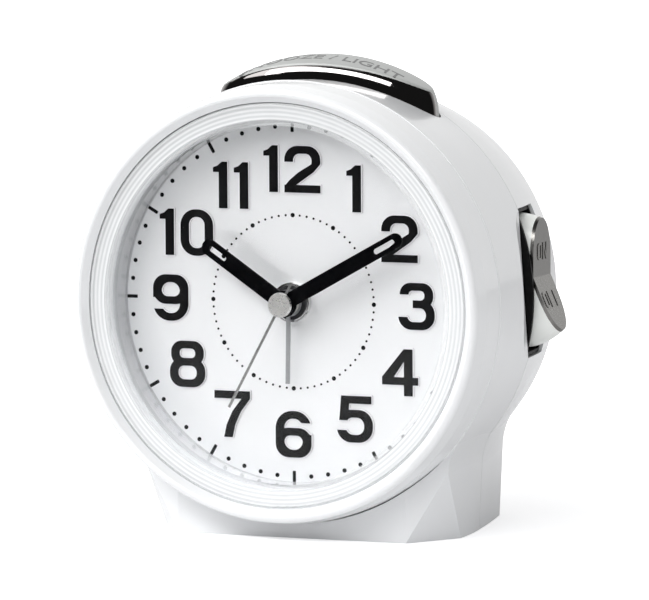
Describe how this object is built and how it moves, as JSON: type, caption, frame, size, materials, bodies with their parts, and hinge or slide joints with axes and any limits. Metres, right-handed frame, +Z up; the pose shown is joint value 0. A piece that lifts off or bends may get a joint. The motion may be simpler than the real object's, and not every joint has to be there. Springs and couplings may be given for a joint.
{
  "type": "quartz alarm clock",
  "caption": "Round white bedside quartz alarm clock on a moulded foot, with a bar on top to light it and snooze and a rocker at its side.",
  "frame": {"origin": "on the resting plane, straight under the dial's axis and near the middle of the clock's depth", "axes": "+Z up, +X to the right of someone reading the dial, +Y from the dial to the back"},
  "size_m": [0.1063, 0.067, 0.1122],
  "materials": {
    "case_white": "moulded white, satin gloss",
    "bezel_white": "moulded white, glossy",
    "lens_clear": "clear, polished",
    "dial_pearl": "pearl silver, printed minute marks",
    "numeral_black": "black",
    "numeral_foil": "bright foil",
    "nut_metal": "bright turned metal",
    "hand_black": "black lacquer",
    "hand_grey": "grey lacquer",
    "hand_steel": "polished",
    "cap_aluminium": "spun",
    "bar_satin": "satin silver with a bright rim band",
    "ear_white": "moulded white",
    "rocker_chrome": "satin chrome-plated plastic with raised bright letters",
    "housing_black": "black",
    "switch_black": "black",
    "movement_black": "black",
    "plate_white": "natural",
    "gear_white": "natural",
    "arbor_brass": "turned",
    "contact_brass": "sheet",
    "contact_steel": "nickel plated",
    "spring_steel": "plain",
    "steel_parts": "zinc plated",
    "screw_steel": "zinc plated",
    "winding_copper": "enamelled copper wire, wound even",
    "board_green": "varnished board",
    "chip_black": "black",
    "lamp_clear": "clear bead",
    "magnet_grey": "plain",
    "battery_jacket": "plain printed jacket",
    "door_white": "moulded white, satin gloss",
    "knob_black": "black"
  },
  "bodies": {
    "case": {"front_case": "case_white", "rear_case": "case_white", "front_bezel": "bezel_white", "lens": "lens_clear", "dial": "dial_pearl", "numerals": "numeral_black", "numeral_rims": "numeral_foil", "dial_nut": "nut_metal", "snooze_springs": "spring_steel", "snooze_switch": "switch_black", "switch_board": "board_green", "rocker_housing": "housing_black", "rocker_pin": "steel_parts", "alarm_contact": "contact_brass", "movement_front_plate": "movement_black", "movement_middle_plate": "plate_white", "movement_back_cover": "movement_black", "movement_screws": "screw_steel", "case_screws": "screw_steel", "stator": "spring_steel", "coil_bobbin": "plate_white", "coil_winding": "winding_copper", "circuit_board": "board_green", "clock_chip": "chip_black", "quartz_crystal": "cap_aluminium", "board_capacitor": "chip_black", "lamp": "lamp_clear", "sounder_basket": "steel_parts", "sounder_cone": "chip_black", "sounder_magnet": "magnet_grey", "battery": "battery_jacket", "battery_plus_contact": "contact_steel", "battery_minus_spring": "contact_steel"},
    "seconds": {"second_wheel": "gear_white", "second_hand": "hand_steel", "second_hand_cap": "cap_aluminium"},
    "rotor": {"rotor": "gear_white"},
    "intermediate": {"intermediate_wheel": "gear_white"},
    "third": {"third_wheel": "gear_white"},
    "centre": {"centre_wheel": "gear_white"},
    "minutes": {"minute_arbor": "arbor_brass", "minute_hand": "hand_black", "friction_spring": "contact_brass"},
    "minute_reduction": {"minute_wheel": "gear_white"},
    "hours": {"hour_wheel": "gear_white", "hour_hand": "hand_black"},
    "time_setting": {"time_set_arbor": "gear_white", "time_knob": "knob_black"},
    "alarm": {"alarm_wheel": "gear_white", "alarm_hand": "hand_grey"},
    "alarm_setting": {"alarm_set_arbor": "gear_white", "alarm_knob": "knob_black"},
    "snooze": {"snooze_bar": "bar_satin", "snooze_clips": "steel_parts"},
    "rocker": {"rocker": "ear_white", "rocker_plate": "rocker_chrome"},
    "door": {"battery_door": "door_white"}
  },
  "joints": [
    {"name": "seconds_turn", "type": "hinge", "parent": "case", "child": "seconds", "pos_m": [0, -0.025, 0.0551], "axis": [0, 1, 0], "continuous": true},
    {"name": "rotor_turn", "type": "hinge", "parent": "case", "child": "rotor", "pos_m": [-0.01102, -0.025, 0.04226], "axis": [0, 1, 0], "continuous": true},
    {"name": "intermediate_turn", "type": "hinge", "parent": "case", "child": "intermediate", "pos_m": [-0.00747, -0.025, 0.04987], "axis": [0, 1, 0], "continuous": true},
    {"name": "third_turn", "type": "hinge", "parent": "case", "child": "third", "pos_m": [0.00737, -0.025, 0.04994], "axis": [0, 1, 0], "continuous": true},
    {"name": "centre_turn", "type": "hinge", "parent": "case", "child": "centre", "pos_m": [0, -0.025, 0.0551], "axis": [0, 1, 0], "continuous": true},
    {"name": "minutes_turn", "type": "hinge", "parent": "case", "child": "minutes", "pos_m": [0, -0.025, 0.0551], "axis": [0, 1, 0], "continuous": true},
    {"name": "minute_reduction_turn", "type": "hinge", "parent": "case", "child": "minute_reduction", "pos_m": [-0.00643, -0.025, 0.06223], "axis": [0, 1, 0], "continuous": true},
    {"name": "hours_turn", "type": "hinge", "parent": "case", "child": "hours", "pos_m": [0, -0.025, 0.0551], "axis": [0, 1, 0], "continuous": true},
    {"name": "time_knob_turn", "type": "hinge", "parent": "case", "child": "time_setting", "pos_m": [-0.0155, -0.025, 0.0591], "axis": [0, 1, 0], "continuous": true},
    {"name": "alarm_turn", "type": "hinge", "parent": "case", "child": "alarm", "pos_m": [0, -0.025, 0.0551], "axis": [0, 1, 0], "continuous": true},
    {"name": "alarm_knob_turn", "type": "hinge", "parent": "case", "child": "alarm_setting", "pos_m": [0.0155, -0.025, 0.0591], "axis": [0, 1, 0], "continuous": true},
    {"name": "snooze_press", "type": "slide", "parent": "case", "child": "snooze", "axis": [0, 0, -1], "range_m": [0, 0.0015], "stiffness_N_per_m": 700, "springref_m": -0.0015, "deforming": ["snooze_springs"]},
    {"name": "alarm_switch", "type": "hinge", "parent": "case", "child": "rocker", "pos_m": [0.0435, 0.0077, 0.0585], "axis": [0, 1, 0], "range_deg": [0, 23.6]},
    {"name": "battery_door_swing", "type": "hinge", "parent": "case", "child": "door", "pos_m": [-0.0012, 0.0279, 0.03005], "axis": [-1, 0, 0], "range_deg": [0, 100]}
  ],
  "couplings": [
    {"joint": "intermediate_turn", "follows": "seconds_turn", "ratio": -5},
    {"joint": "rotor_turn", "follows": "seconds_turn", "ratio": 30},
    {"joint": "third_turn", "follows": "seconds_turn", "ratio": -0.13333},
    {"joint": "centre_turn", "follows": "seconds_turn", "ratio": 0.016667},
    {"joint": "minute_reduction_turn", "follows": "minutes_turn", "ratio": -0.33333},
    {"joint": "hours_turn", "follows": "minutes_turn", "ratio": 0.083333},
    {"joint": "time_knob_turn", "follows": "minutes_turn", "ratio": 1},
    {"joint": "alarm_knob_turn", "follows": "alarm_turn", "ratio": -4}
  ]
}
